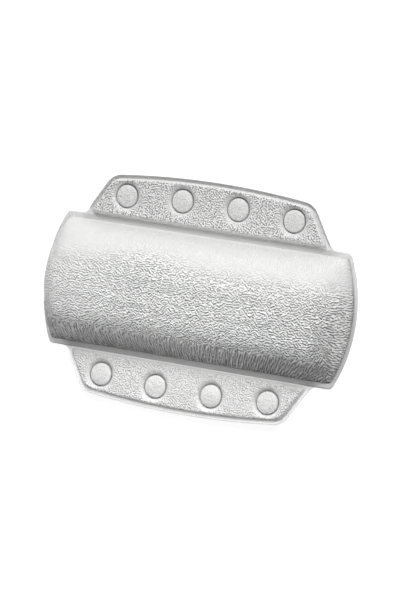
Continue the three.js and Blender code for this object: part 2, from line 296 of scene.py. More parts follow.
bolster_vinyl = front_vinyl(
    "bolster_vinyl", spacing=0.0026, depth=0.0024, wander=1.3, strictness=0.38,
    plain=0.61, lift=0.46, groove=1.18, blotch=0.1, wall=(0.158, 0.047),
)
flap_vinyl = front_vinyl(
    "flap_vinyl", spacing=0.0024, depth=0.0012, wander=3.0, strictness=0.2,
    plain=0.68, lift=0.15, groove=0.95, blotch=0.9,
)
print("made", bolster_vinyl.name, "and", flap_vinyl.name)


# %% [markdown]
# ## Plain vinyl, foam and clear vinyl
#
# The back sheet is plain vinyl with a fine matt surface. The foam is cream, full of pores, and takes
# no shine. The suction cups are moulded from clear soft vinyl, slightly cloudy where it is thick.

# %% Other materials
def back_vinyl():
    material, start, shader = new_material("back_vinyl", Specular_IOR_Level=0.4)
    place = start.node("TexCoord", out="Object")
    fine = place.clouds(900, 3)
    broad = place.clouds(40, 3)
    height = fine * 0.2 + broad * 2
    feed(height.bump(0.0003), shader, "Normal")
    feed((broad * 0.7 + fine * 0.3).tint((0.66, 0.66, 0.65), (0.80, 0.80, 0.79)), shader, "Base Color")
    feed(0.45 + fine * 0.18, shader, "Roughness")
    return material


def foam():
    material, start, shader = new_material("foam", Specular_IOR_Level=0.15)
    place = start.node("TexCoord", out="Object")
    cells = place.node("TexVoronoi", {}, {"Vector": place, "Scale": 900})
    broad = place.clouds(90, 4)
    height = cells + broad * 0.4
    feed(height.bump(0.0006), shader, "Normal")
    feed((cells * 0.8 + broad * 0.4).tint((0.66, 0.62, 0.50), (0.90, 0.87, 0.78)), shader, "Base Color")
    feed(0.85 + broad * 0.12, shader, "Roughness")
    return material


def clear_vinyl():
    material, start, shader = new_material(
        "clear_vinyl", IOR=1.5, Transmission_Weight=0.85, Specular_IOR_Level=0.5
    )
    place = start.node("TexCoord", out="Object")
    flow = place.clouds(220, 3)
    feed(flow.bump(0.0002), shader, "Normal")
    feed(flow.tint((0.78, 0.84, 0.86), (0.90, 0.94, 0.95)), shader, "Base Color")
    feed(0.08 + flow * 0.16, shader, "Roughness")
    return material


def floor_paint():
    """White paint that shines faintly by itself, so that the floor is almost burnt out"""
    material, start, shader = new_material(
        "floor_paint", Specular_IOR_Level=0.1, Emission_Color=(1, 1, 1, 1), Emission_Strength=0.84
    )
    place = start.node("TexCoord", out="Object")
    mottle = place.clouds(8, 2)
    feed(mottle.tint((0.34, 0.34, 0.34), (0.36, 0.36, 0.36)), shader, "Base Color")
    feed(0.75 + mottle * 0.1, shader, "Roughness")
    return material


back_material = back_vinyl()
foam_material = foam()
clear_material = clear_vinyl()
floor_material = floor_paint()
print("made", ", ".join(m.name for m in (back_material, foam_material, clear_material, floor_material)))


# %% [markdown]
# ## From mesh code to a piece
#
# Every piece starts in a bmesh and ends as an object at the origin, with its place in its mesh. One
# helper turns the bmesh into an object, and one bakes its modifiers into the mesh, so that nothing
# is left live when a piece is tied to the bodies that it bends between.

# %% Piece helpers
def piece_from(bm, name, material):
    mesh = bpy.data.meshes.new(name)
    bm.to_mesh(mesh)
    bm.free()
    mesh.polygons.foreach_set("use_smooth", [True] * len(mesh.polygons))
    piece = bpy.data.objects.new(name, mesh)
    piece.data.materials.append(material)
    bpy.context.scene.collection.objects.link(piece)
    return piece


def baked(piece):
    """The piece with its modifiers made part of its mesh"""
    bpy.context.view_layer.update()
    view = bpy.context.evaluated_depsgraph_get()
    shown = piece.evaluated_get(view)
    mesh = bpy.data.meshes.new_from_object(shown, preserve_all_data_layers=True, depsgraph=view)
    mesh.name = piece.name
    piece.modifiers.clear()
    piece.data = mesh
    return piece


def subdivided(piece, levels):
    step = piece.modifiers.new("subdivide", "SUBSURF")
    step.levels = levels
    step.render_levels = levels
    return baked(piece)


def thickened(piece, thickness):
    step = piece.modifiers.new("thickness", "SOLIDIFY")
    step.thickness = thickness
    step.offset = -1
    return baked(piece)


def facing(bm, upwards=True):
    """Turns the faces of an open sheet all to one side, upwards or downwards"""
    bmesh.ops.recalc_face_normals(bm, faces=bm.faces)
    rise = sum(face.normal.z * face.calc_area() for face in bm.faces)
    if (rise > 0) != upwards:
        bmesh.ops.reverse_faces(bm, faces=bm.faces)


def ring_edges(bm, ring):
    return [bm.edges.get((a, b)) or bm.edges.new((a, b)) for a, b in zip(ring, ring[1:] + ring[:1])]


def grow(bm, ring, targets):
    """A band of faces from a closed ring of points to new points at the targets

    Blender's own extrusion makes its edges in an order that changes from run to run, and a cloth
    simulation on such a mesh never comes out quite the same twice.
    """
    grown = [bm.verts.new(target, v) for v, target in zip(ring, targets)]
    sides = zip(ring_edges(bm, ring), ring, ring[1:] + ring[:1], grown, grown[1:] + grown[:1])
    for edge, a, b, new_a, new_b in sides:
        bm.edges.new((new_a, new_b), edge)
        bm.faces.new((a, b, new_b, new_a))
    return grown


def sheet_layers(bm):
    """A sheet's UV map, its four attributes, and how sharp its edges stay when it is subdivided"""
    uv = bm.loops.layers.uv.new("sheet")
    lay = bm.verts.layers.float_vector.new("lay")
    grain = bm.verts.layers.float.new("grain")
    painted_shade = bm.verts.layers.float.new("painted_shade")
    painted_light = bm.verts.layers.float.new("painted_light")
    crease = bm.edges.layers.float.new("crease_edge")
    return uv, lay, grain, painted_shade, painted_light, crease


def share_of(value, start, end):
    """0 at the start, 1 at the end and steady between them"""
    return min(1, max(0, (value - start) / (end - start)))


def eased(share):
    """The same share with a gentle start and end"""
    return share * share * (3 - 2 * share)


def lay_along(angle, strength):
    """The value of `lay` for wrinkles at an angle; above 0.6 they begin to keep to it strictly"""
    return Vector((math.cos(2 * angle), math.sin(2 * angle), 0)) * strength


floor_mesh = bmesh.new()
bmesh.ops.create_grid(floor_mesh, x_segments=8, y_segments=8, size=4)
floor = piece_from(floor_mesh, "floor", floor_material)
print("floor", [round(d, 2) for d in floor.dimensions])


# %% [markdown]
# ## The bolster's crown
#
# The middle of the pillow is a thick foam bolster under the front sheet. Its top is nearly flat, and
# it rounds over into steep walls that end in the weld. It could be a cube that is subdivided, but
# then the walls get few faces and the top gets many.
#
# Instead a grid is laid over the crown. Its columns and rows are spaced evenly along the curved
# surface, so the walls are as finely divided as the top. The two numbers that place a point, one
# along the bolster and one across it, also give its place in the sheet before it was formed.

# %% Crown sizes
weld_top = 0.0122
crown_top = 0.0496
half_depth = 0.063
end_run = 0.030
weld_width = 0.006
end_weld_width = 0.0045
arc_centre = 0.01822
arc_radius = 0.15228
half_middle = arc_centre + arc_radius - end_run


def rise_at(share):
    """The crown's height above the weld, where the share is 0 on the ridge and 1 at the foot"""
    return (crown_top - weld_top) * np.maximum(0, 1 - share**3) ** (1 / 1.2)


def even_shares(run, steps=4000):
    """Shares of a run, and their distance along the curved surface from the ridge"""
    share = np.linspace(0, 1, steps + 1)
    lengths = np.hypot(np.diff(run * share), np.diff(rise_at(share)))
    return share, np.concatenate([[0], np.cumsum(lengths)])


side_share, side_way = even_shares(half_depth)
end_share, end_way = even_shares(end_run)
half_along = half_middle + end_way[-1]
half_across = side_way[-1]
print("sheet over the crown", round(2 * half_along, 3), "by", round(2 * half_across, 3))


def crown_shares(p, q):
    """How far a point of the grid is along the middle, down an end and down a side"""
    along = abs(p) * half_along
    middle = min(1, along / half_middle)
    end = float(np.interp(along - half_middle, end_way, end_share))
    side = float(np.interp(abs(q) * half_across, side_way, side_share))
    return middle, end, side


def crown_place(p, q, beyond=0.0, flat=False):
    """A point of the crown, or of the weld flange when beyond is up to 1"""
    middle, end, side = crown_shares(p, q)
    largest = max(end, side)
    # Seen from above the corners are round near the ridge and almost square at the foot
    fullness = 3 + 25 * largest**12
    pull = largest / (end**fullness + side**fullness) ** (1 / fullness) if largest > 0 else 1
    y = side * pull * (half_depth + beyond * weld_width)
    edge = arc_centre + math.sqrt((arc_radius + beyond * end_weld_width) ** 2 - y * y)
    x = (edge - end_run) * middle + end_run * end * pull
    level = weld_top if flat else weld_top + float(rise_at(largest))
    return Vector((math.copysign(x, p), math.copysign(y, q), level))


# %% [markdown]
# ## Laying the sheet
#
# The grid becomes the crown, and its rim is extruded three times to make the flat weld flange. Each
# point keeps its place in the uncut sheet as a UV, and the direction of its wrinkles. Along the long
# walls they stand upright, where the sheet is gathered into the weld. At the ends and over the
# middle they lie lengthwise, and at the corners they fan out. In the functions below p runs from -1
# to 1 along the bolster and q from -1 to 1 across it, and x and y are the place in metres.

# %% Bolster sheet
half_columns = 62
half_rows = 30
foot = 0.06
beyond_steps = (foot, 0.5, 1.0)


def crown_lean(p, q):
    """How far the gathers of the lower wall lean to the right, in degrees from upright"""
    return 20 + 34 * share_of(p, 0, 0.7) ** 1.5 if q < 0 else 0


def crown_lay(p, q):
    """The wrinkles' direction, as the cosine and sine of twice its angle"""
    end, side = crown_shares(p, q)[1:]
    upright = share_of(side, 0.66, 0.80)
    ended = share_of(end, 0.70, 0.95)
    fan = 14 if q < 0 < p else 0
    angle = math.radians((90 - crown_lean(p, q)) * (1 - ended) + fan * ended)
    lengthwise = lay_along(0, 0.7 + 0.2 * ended)
    return lengthwise.lerp(lay_along(angle, 1.2), upright)


def crown_grain(x, y):
    """How deep the leather grain is; it is drawn smooth over the upper wall and fades to the left"""
    start = 0.043 + 0.009 * math.exp(-(((x + 0.05) / 0.04) ** 2))
    down = share_of(y, start, start - 0.036)
    low = share_of(y, -0.024, -0.038)
    right = max(share_of(x, -0.155, -0.055), share_of(y, -0.030, -0.045))
    return (0.12 + 0.88 * eased(down)) * (0.35 + 0.65 * right) * (1 + 0.45 * low)


def crown_painted_shade(x, y):
    """Painted shade: how much darker the lower wall is painted, most of all towards its right end"""
    wall = math.exp(-(((y + 0.050) / 0.006) ** 2))
    low = share_of(y, -0.040, -0.050)
    right = share_of(x, 0.02, 0.11)
    return 0.32 * wall + 0.45 * low * right


def flange_painted_shade(p, q, beyond, x):
    """Painted shade on the flange: at the crown's foot, and all over where a flap is folded from it"""
    if abs(q) == 1 and abs(p) < 0.97:
        return (1.08 if q < 0 else 0.62) * share_of(abs(x), 0.148, 0.136)
    if beyond == foot and q < 0:
        return 0.55
    if beyond == foot and p > 0.9:
        return 0.8
    return 0.0


def rim_ring(bounds):
    """The points of a sheet's rim in order, from its edges"""
    ring = list(bounds[0].verts)
    while len(ring) < len(bounds):
        rim_edges = (e for e in ring[-1].link_edges if e.is_boundary)
        ring.append(next(v for v in (e.other_vert(ring[-1]) for e in rim_edges) if v is not ring[-2]))
    return ring


def crown_sheet(flat=False):
    """The bolster's front sheet, or the flat back sheet of the same outline"""
    bm = bmesh.new()
    bmesh.ops.create_grid(bm, x_segments=2 * half_columns, y_segments=2 * half_rows, size=1)
    sheet, lay, grain, painted_shade, painted_light, crease = sheet_layers(bm)
    bounds = [e for e in bm.edges if e.is_boundary]
    for e in bounds:
        e[crease] = 0.0 if flat else 0.85
    start = {v: (v.co.x, v.co.y, 0.0) for v in bm.verts}
    ring = rim_ring(bounds)
    for beyond in beyond_steps:
        places = [crown_place(*start[v][:2], beyond, flat) for v in ring]
        grown = grow(bm, ring, places)
        for old, new in zip(ring, grown):
            start[new] = (*start[old][:2], beyond)
        ring = grown
    for v, (p, q, beyond) in start.items():
        v.co = crown_place(p, q, beyond, flat)
        v[lay] = crown_lay(p, q)
        if beyond == 0:
            v[grain] = crown_grain(v.co.x, v.co.y)
            # Painted shade on the crown's lower wall
            v[painted_shade] = crown_painted_shade(v.co.x, v.co.y)
        else:
            # Painted shade on the flange, where the crown and the pads shadow it
            v[painted_shade] = flange_painted_shade(p, q, beyond, v.co.x)
        # Painted light: the flanges at the two ends glow faintly
        v[painted_light] = 0.15 if beyond > foot and abs(p) > 0.9 else 0.0
    for face in bm.faces:
        for corner in face.loops:
            p, q, beyond = start[corner.vert]
            out_x = beyond * end_weld_width if abs(p) == 1 else 0
            out_y = beyond * weld_width if abs(q) == 1 else 0
            u = math.copysign(abs(p) * half_along + out_x, p)
            v = math.copysign(abs(q) * half_across + out_y, q)
            corner[sheet].uv = (u, v)
    facing(bm)
    return bm


bolster_cover = piece_from(crown_sheet(), "bolster_cover", bolster_vinyl)
print("bolster sheet", len(bolster_cover.data.vertices), "points")


# %% [markdown]
# ## Letting the cushion swell
#
# Foam pushes the sheet outwards, and the sheet is cut a little too large, so it buckles where the
# weld holds it. A cloth simulation finds that shape by itself: the flange is pinned, the sheet grows
# by a few hundredths, and pressure takes the place of the foam. A point may not move further than
# about a millimetre, so the bolster keeps its size.

# %% Cloth simulation
def swell(piece, pressure, growth, limit, sink, frames=20):
    """Lets a pinned sheet swell; no point moves out by more than a limit or in by more than a sink"""
    before = np.array([v.co for v in piece.data.vertices])
    normals = np.array([v.normal for v in piece.data.vertices])
    pinned = [v.index for v in piece.data.vertices if v.co.z < weld_top + pinned_height]
    held = piece.vertex_groups.new(name="weld")
    held.add(pinned, 1.0, "REPLACE")
    cloth = piece.modifiers.new("swelling", "CLOTH")
    settings = cloth.settings
    settings.quality = 6
    settings.mass = 0.15
    settings.tension_stiffness = 25
    settings.compression_stiffness = 25
    settings.shear_stiffness = 10
    settings.bending_stiffness = 0.6
    settings.tension_damping = 15
    settings.compression_damping = 15
    settings.use_pressure = True
    settings.uniform_pressure_force = pressure
    settings.shrink_min = -growth
    settings.vertex_group_mass = held.name
    settings.effector_weights.gravity = 0
    cloth.collision_settings.use_collision = False
    scene = bpy.context.scene
    cloth.point_cache.frame_end = frames
    for step in range(1, frames + 1):
        scene.frame_set(step)
    baked(piece)
    piece.vertex_groups.clear()
    scene.frame_set(1)
    after = np.array([v.co for v in piece.data.vertices])
    moved = after - before
    far = np.linalg.norm(moved, axis=1, keepdims=True)
    outward = np.sum(moved * normals, axis=1, keepdims=True)
    # The foam is in the way of a point that would sink in, so it may only do so a little
    above = np.clip((before[:, 2:] - weld_top) / free_height, 0, 1)
    bound = np.where(outward > 0, limit * above + 1e-5, sink)
    along = moved - outward * normals
    along_way = np.linalg.norm(along, axis=1, keepdims=True)
    gentle = np.tanh(outward / bound) * bound * normals
    gentle = gentle + along * np.minimum(1, limit / np.maximum(along_way, 1e-9))
    piece.data.vertices.foreach_set("co", (before + gentle).ravel())
    print(piece.name, "moved up to", round(float(far.max()) * 1000, 2), "mm before the limit")


# The weld holds the lowest part of the wall, and the sheet is free from a little above it
pinned_height = 0.0015
free_height = 0.02
swell(bolster_cover, pressure=2.5, growth=0.03, limit=0.0009, sink=0.0003)


# %% [markdown]
# ## Gathers in the walls
#
# The simulation's mesh is too coarse for the narrow gathers along the weld, so they are pressed in
# after it is subdivided. Noise that is stretched along the wrinkles and squeezed across them gives
# folds that run straight up the wall and fade on the way to the top.

# %% Gathers
vinyl = 0.0006
gather_height = 0.036
end_gather_height = 0.020
upper_wall_share = 0.2


def fold_noise(place, across, along, seed):
    """Noise with folds that are narrow across the first coordinate and long along the second"""
    return noise.noise(Vector((place[0] / across, place[1] / along, seed)))


def gathered(piece, depth, ripple):
    """Presses upright folds into the side walls, and gentle ripples all over, both in metres"""
    bm = bmesh.new()
    bm.from_mesh(piece.data)
    sheet = bm.loops.layers.uv.active
    lay = bm.verts.layers.float_vector["lay"]
    grain = bm.verts.layers.float["grain"]
    painted_shade = bm.verts.layers.float["painted_shade"]
    bm.normal_update()
    moves = {}
    for v in bm.verts:
        if not v.link_loops:
            continue
        u, w = v.link_loops[0][sheet].uv
        climb = half_across - abs(w)
        down_side = max(0, 1 - climb / gather_height) * (1 if w < 0 else upper_wall_share)
        down_end = max(0, 1 - (half_along - abs(u)) / end_gather_height)
        slant = u - math.tan(math.radians(crown_lean(u / half_along, w))) * climb
        upright = fold_noise((slant, w), 0.0028, 0.05, 3.1)
        upright += 0.6 * fold_noise((slant, w), 0.0060, 0.06, 8.7)
        lengthwise = fold_noise((w, u), 0.0028, 0.03, 5.3)
        gentle = fold_noise((w, u), 0.0050, 0.011, 1.9)
        fold = down_side**0.8 * upright + 0.4 * down_end * lengthwise * (1 - down_side)
        moves[v] = v.normal * v[grain] * (depth * fold + ripple * gentle)
        # Painted shade: little light gets into the deepest folds, so they are darkened
        if v[grain] > 0.3:
            v[painted_shade] = max(v[painted_shade], min(0.6, -1.4 * fold))
    for v, move in moves.items():
        v.co += move
    bm.to_mesh(piece.data)
    bm.free()


subdivided(bolster_cover, 1)
gathered(bolster_cover, depth=0.0004, ripple=0.00015)
thickened(bolster_cover, vinyl)
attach(bolster_cover, "bolster")
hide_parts("bolster_front_cover")
print("bolster cover", len(bolster_cover.data.polygons), "faces")


# %% [markdown]
# ## The bolster's foam and back
#
# The foam is one moulded block. It is the same crown, drawn in by the thickness of the sheet and a
# little room, and closed underneath. The back sheet is flat, cut to the same outline as the front.

# %% Bolster foam and back
foam_inset = 0.0020
foam_level = 0.0119
back_level = 0.0110
same_height = 1e-5


def bolster_foam_block():
    """The crown without its flange, drawn in and closed underneath"""
    bm = crown_sheet()
    flat_faces = [f for f in bm.faces if all(abs(v.co.z - weld_top) < same_height for v in f.verts)]
    bmesh.ops.delete(bm, geom=flat_faces, context="FACES")
    bm.normal_update()
    for v in bm.verts:
        v.co -= v.normal * foam_inset
    for v in bm.verts:
        if v.is_boundary:
            v.co.z = foam_level
    rim = [e for e in bm.edges if e.is_boundary]
    bmesh.ops.holes_fill(bm, edges=rim, sides=0)
    bmesh.ops.recalc_face_normals(bm, faces=bm.faces)
    return bm


bolster_foam_piece = piece_from(bolster_foam_block(), "bolster_foam_block", foam_material)
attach(bolster_foam_piece, "bolster")
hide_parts("bolster_foam")

back_bm = crown_sheet(flat=True)
for v in back_bm.verts:
    v.co.z = back_level
facing(back_bm, upwards=False)
bolster_back = piece_from(back_bm, "bolster_back_sheet", back_material)
thickened(bolster_back, vinyl)
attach(bolster_back, "bolster")
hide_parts("bolster_back_cover")
print("foam", len(bolster_foam_piece.data.polygons), "faces, back", len(bolster_back.data.polygons))


# %% [markdown]
# ## A flap in rings
#
# Each flap is a thin pad with four round welds, and inside each weld sits a small domed disc. A grid
# would cut the round welds into steps. So the sheet is built as rings: the outline of the pad, split
# into four cells, and in each cell rings that shrink from the cell's border to the disc's middle.
# Every ring is extruded from the one before it, which keeps the faces in neat rows.

# %% Flap outline
root_half = 0.1385
tip_x = 0.113
tip_y = 0.0425
flap_reach = 0.0496
bow = 0.0071
bow_radius = (tip_x**2 + bow**2) / (2 * bow)
flange = 0.0030
root_gap = 0.0012
border_inside = 0.003
border_corner = 0.0075
# The discs stand in a row that bows outwards a little, and a cell is as wide as their spacing
disc_x = (-0.09405, -0.03135, 0.03135, 0.09405)
disc_row = 0.0268
disc_row_bow = 0.0035
disc_y = tuple(disc_row - disc_row_bow * (x / disc_x[-1]) ** 2 for x in disc_x)
cell_width = 0.0627
cell_lines = (-cell_width, 0.0, cell_width)
# Into how many edges each part of the outline is divided
root_corner_steps = 6
tip_corner_steps = 8
slope_steps = 12
cell_steps = 24
outer_root_steps = 26
outer_bow_steps = 16
upright_steps = 12


def corner_curve(corner, start, end, reach, steps):
    """A rounded corner that leaves its two sides a reach before they meet"""
    a = corner + start * reach
    b = corner + end * reach
    shares = np.linspace(0, 1, steps + 1)
    return [a * (1 - t) ** 2 + corner * 2 * t * (1 - t) + b * t * t for t in shares]


def flap_ring(inset, root_edge, root_reach, tip_reach):
    """A closed line round the flap, counterclockwise from the middle of its root"""
    root = Vector((root_half, 0))
    along = (Vector((tip_x, tip_y)) - root).normalized()
    inwards = Vector((-along.y, along.x))
    begin = root + inwards * inset
    root_corner = begin + along * ((root_edge - begin.y) / along.y)
    radius = bow_radius - inset
    centre_y = flap_reach - bow_radius
    offset = root_corner - Vector((0, centre_y))
    half = offset.dot(along)
    to_bow = -half + math.sqrt(half**2 - offset.length_squared + radius**2)
    tip_corner = root_corner + along * to_bow
    angle = math.asin(tip_corner.x / radius)
    along_bow = Vector((-math.cos(angle), math.sin(angle)))
    outwards = Vector((-math.copysign(1, root_reach), 0))
    first = corner_curve(root_corner, outwards, along, abs(root_reach), root_corner_steps)
    second = corner_curve(tip_corner, -along, along_bow, tip_reach, tip_corner_steps)
    side = [first[-1].lerp(second[0], t) for t in np.linspace(0, 1, slope_steps + 1)[1:-1]]
    inner_x = np.linspace(0, cell_width, cell_steps + 1)
    outer_x = np.linspace(cell_width, first[0].x, outer_root_steps + 1)
    base = [Vector((x, root_edge)) for x in (*inner_x, *outer_x[1:-1])]
    outer_x = np.linspace(second[-1].x, cell_width, outer_bow_steps + 1)
    inner_x = np.linspace(cell_width, 0, cell_steps + 1)
    top = [Vector((x, centre_y + math.sqrt(radius**2 - x * x))) for x in (*outer_x[1:], *inner_x[1:])]
    right = base + first + side + second + top
    left = [Vector((-p.x, p.y)) for p in reversed(right[1:-1])]
    return right + left


border = flap_ring(flange + border_inside, root_gap + border_inside, border_corner, border_corner)
print("points round a flap", len(border))


# %% [markdown]
# ## Heights on a flap
#
# The pad rises from the weld in a quarter of an ellipse. A round weld takes the height away again,
# with a rounded shoulder, and leaves a flat ring of bare weld round the dome of the disc. The free
# edge of the flap curls up slightly, as a welded edge does when the vinyl cools. That is partly why the
# photograph shows it bright on one flap and dark on the other; painted light on the lower flange and
# painted shade on the upper one do the rest.

# %% Flap heights
pad_rise = 0.0056
pad_edge = 0.0030
shoulder_drop = 0.0025
brim_radius = 0.0168
groove_radius = 0.0129
curl = 0.0026
dome_radius = 0.0115
dome_foot = 0.0042
dome_rise = 0.0015


def pad_height(inside):
    """Height above the weld plane, a distance inside the foot of the pad"""
    lean = 1 - share_of(inside, 0, pad_edge)
    return vinyl + pad_rise * math.sqrt(1 - lean * lean)


def shoulder_height(radius):
    """How far a round weld draws the pad down, at a radius from the disc's middle"""
    lean = max(0, (brim_radius - radius) / (brim_radius - groove_radius))
    return vinyl + pad_rise - shoulder_drop * lean**1.5


def dome_height(radius):
    return dome_foot + dome_rise * (1 - (radius / dome_radius) ** 2) ** 0.8


def curl_height(inset, y):
    """How far the free edge is curled up; nothing where the flap joins the bolster"""
    return curl * (1 - share_of(inset, 0, flange)) ** 2 * eased(share_of(y, 0.001, 0.013))


# Radius and height of each ring from the weld's groove to the middle of its disc
groove_rings = ((0.0124, 0.0014), (0.0120, 0.0008), (0.0116, 0.0022))
disc_rings = tuple((radius, dome_height(radius)) for radius in (0.0113, 0.0107, 0.0095, 0.0075, 0.0050))
print("dome from", dome_foot, "to", round(disc_rings[-1][1], 4), "above the weld")


# %% [markdown]
# ## Cells of a flap's sheet
#
# Three upright lines divide the pad into four cells, one round each disc. A cell's ring is made of a
# part of the outline and the lines beside it, so neighbouring cells share their points there.

# %% Flap cells
column_width = 0.0016


def flap_cells(bm, ring):
    """The ring of each cell, with the upright lines between the cells added to the mesh"""
    ends = {line: [v for v in ring if abs(v.co.x - line) < 1e-6] for line in cell_lines}
    uprights = {}
    for line, pair in sorted(ends.items(), key=lambda item: ring.index(item[1][0])):
        low, high = sorted(pair, key=lambda v: v.co.y)
        points = [low]
        for t in np.linspace(0, 1, upright_steps + 1)[1:-1]:
            points.append(bm.verts.new(low.co.lerp(high.co, t)))
        points.append(high)
        for a, b in zip(points, points[1:]):
            bm.edges.new((a, b))
        uprights[line] = points
    cells = []
    limits = (-1, *cell_lines, 1)
    count = len(ring)
    for low_x, high_x in zip(limits, limits[1:]):
        inside = [low_x - 1e-6 <= v.co.x <= high_x + 1e-6 for v in ring]
        runs = []
        for i in range(count):
            if inside[i] and not inside[i - 1]:
                run = []
                j = i
                while inside[j % count]:
                    run.append(ring[j % count])
                    j += 1
                runs.append(run)
        if len(runs) == 1 and high_x == 1:
            cells.append(runs[0] + uprights[low_x][::-1][1:-1])
        elif len(runs) == 1:
            cells.append(runs[0] + uprights[high_x][1:-1])
        else:
            bottom, top = sorted(runs, key=lambda run: run[0].co.y)
            cells.append(bottom + uprights[high_x][1:-1] + top + uprights[low_x][::-1][1:-1])
    return cells


def depths_inside(ring, cells):
    """How far inside the pad's foot each point is: a little on the border, more on the uprights"""
    depth_at = {v: border_inside for v in ring}
    for cell in cells:
        for v in cell:
            if v not in depth_at:
                column = [c.co.y for c in ring if abs(c.co.x - v.co.x) < column_width]
                depth_at[v] = border_inside + min(v.co.y - min(column), max(column) - v.co.y)
    return depth_at


# %% [markdown]
# ## Shaping the rings
#
# One function builds the rings for all three layers of a flap. The front sheet follows the heights.
# The back sheet is flat with a hole in each disc for the neck of a suction cup. The foam has the
# front's shape, drawn in, with holes where the welds are.
#
# Seven rings lead from a cell's border down to the round weld, three make its groove, and six climb
# the dome. The outline is also extruded outwards, over the pad's edge and across the free flange.

# %% Flap sheets
neck_hole_radius = 0.0034
dome_cap_radius = 0.0026
groove_numbers = (7, 8, 9)
groove_lift = 0.0003
pad_corner = 0.008
# What the front vinyl reads on the rings 0 to 15 of a cell: 0 to 6 lead down the pad, 7 to 9 are the
# groove, and the rest are the disc's dome
ring_grain = (1.0, 1.0, 0.9, 0.7, 0.4, 0.2, 0.1, 0, 0, 0, 0.1, 0.2, 0.3, 0.3, 0.3, 0.3)
# Painted shade in and beside the round groove
ring_painted_shade = {6: 0.25, 7: 0.8, 8: 1.0, 9: 0.45}
ring_lay = {number: 0.75 for number in range(3, 9)}
# The free flange, from the pad's foot to its edge: its share of the way in, and its two corners' reach
rim_lines = (
    (0.92, 0.006, 0.008), (0.6, 0.001, 0.009), (0.3, -0.002, 0.0095), (0.1, -0.0042, 0.01), (0, -0.005, 0.01)
)
no_disc_near = 1
pad_slope = 0.05
slope_start = 0.014


def cell_rings(kind, spokes, drawn):
    """Radius and height of each ring at each spoke; the height is None where it is the pad's own"""
    last = groove_radius + drawn
    brims = [min(brim_radius, last + (s.length - last) * 0.6) for s in spokes]
    rings = []
    for share in (0.25, 0.5, 0.75, 1.0):
        rings.append([(s.length + (b - s.length) * share, None) for s, b in zip(spokes, brims)])
    for share in (0.4, 0.75, 1.0):
        rings.append([(b + (last - b) * share, None) for b in brims])
    if kind != "foam":
        dome_cap = (dome_cap_radius, disc_rings[-1][1] + 0.0001)
        innermost = dome_cap if kind == "front" else (neck_hole_radius, 0)
        for radius, height in (*groove_rings, *disc_rings, innermost):
            rings.append([(radius, height)] * len(spokes))
    return rings


def flap_sheet(kind, side=1, drawn=0.0):
    """A flap's front or back sheet, or the top of its foam, which is drawn in from the front"""
    bm = bmesh.new()
    uv, lay, grain, painted_shade, painted_light, crease = sheet_layers(bm)
    # The lower flap's grain is fainter. Painted light makes its free edge glow, and painted shade darkens
    # the upper flap's outer rim
    faintness = 1.0 if side > 0 else 0.55
    towards_light = math.radians(60) if side > 0 else math.radians(60) - math.pi
    flat = kind == "back"

    def level(inside, radius):
        if flat:
            return -vinyl
        return min(pad_height(inside - drawn), shoulder_height(radius - drawn)) - drawn

    ring = [bm.verts.new((p.x, p.y, 0)) for p in border]
    ring_edges(bm, ring)
    cells = flap_cells(bm, ring)
    depth_at = depths_inside(ring, cells)
    for cell, x, y in zip(cells, disc_x, disc_y):
        centre = Vector((x, y, 0))
        spokes = [(v.co - centre) for v in cell]
        for v, spoke in zip(cell, spokes):
            v.co.z = level(depth_at[v], spoke.length)
            v[grain] = faintness
        current = cell
        for number, ring_places in enumerate(cell_rings(kind, spokes, drawn)):
            targets = []
            for v, spoke, (radius, height) in zip(cell, spokes, ring_places):
                place = centre + spoke.normalized() * radius
                if flat:
                    place.z = -vinyl + (groove_lift if number in groove_numbers else 0)
                elif height is None:
                    place.z = level(depth_at[v] + spoke.length - radius, radius)
                else:
                    place.z = height
                targets.append(place)
            current = grow(bm, current, targets)
            for v, spoke in zip(current, spokes):
                angle = math.atan2(spoke.y, spoke.x)
                v[lay] = lay_along(angle, ring_lay.get(number, 0.2))
                v[grain] = ring_grain[number] * faintness
                # Painted shade: the round groove is darkest on the side where the pad stands in the light's
                # way
                shaded = 0.5 + 0.5 * math.cos(angle - towards_light)
                v[painted_shade] = ring_painted_shade.get(number, 0.0) * (0.5 + 0.6 * shaded)
        if kind == "front":
            bmesh.ops.contextual_create(bm, geom=ring_edges(bm, current))
    current = ring
    for inside in (0.0021, 0.0014, 0.0009) if kind == "foam" else (0.0018, 0.0009, 0.0003, 0):
        line = flap_ring(flange + inside, root_gap + inside, pad_corner, pad_corner)
        current = grow(bm, current, [Vector((p.x, p.y, level(inside, no_disc_near))) for p in line])
        for v in current:
            v[grain] = 0.35 if inside > 0.001 else 0.1
    if kind != "foam":
        for e in ring_edges(bm, current):
            e[crease] = 0.8
        low = -vinyl if flat else vinyl
        for share, root_reach, tip_reach in rim_lines:
            inset = flange * share
            line = flap_ring(inset, root_gap * share, root_reach, tip_reach)
            targets = [Vector((p.x, p.y, low + curl_height(inset, p.y))) for p in line]
            current = grow(bm, current, targets)
            for v, p in zip(current, line):
                # Painted light on the lower flap's free flange, and painted shade on the upper flap's outer
                # rim
                near_tip = share_of(p.y, 0, 0.006)
                v[painted_light] = (0.25 if share == 0 else 1.0) * near_tip if side < 0 else 0.0
                v[painted_shade] = 0.55 * near_tip if side > 0 and share < 0.4 else 0.0
    if not flat:
        # The pad is a little thicker towards its free edge
        for v in bm.verts:
            v.co.z += pad_slope * (v.co.y - slope_start) * max(0, v.co.z - vinyl) / pad_rise
    for face in bm.faces:
        for corner in face.loops:
            corner[uv].uv = corner.vert.co.xy
    facing(bm, upwards=not flat)
    return bm


# %% [markdown]
# ## Tying the flaps to the bolster
#
# Both sheets of a flap are joined to the bolster along the crease. A strip of a few millimetres bends
# there: its near edge stays with the bolster, and its far edge follows the flap. If the whole sheet
# rode on the flap, it would tear away from the bolster as soon as the flap folds.

# %% Flap covers
hinge_y = 0.069
hinge_z = 0.0116
crease_width = 0.0025


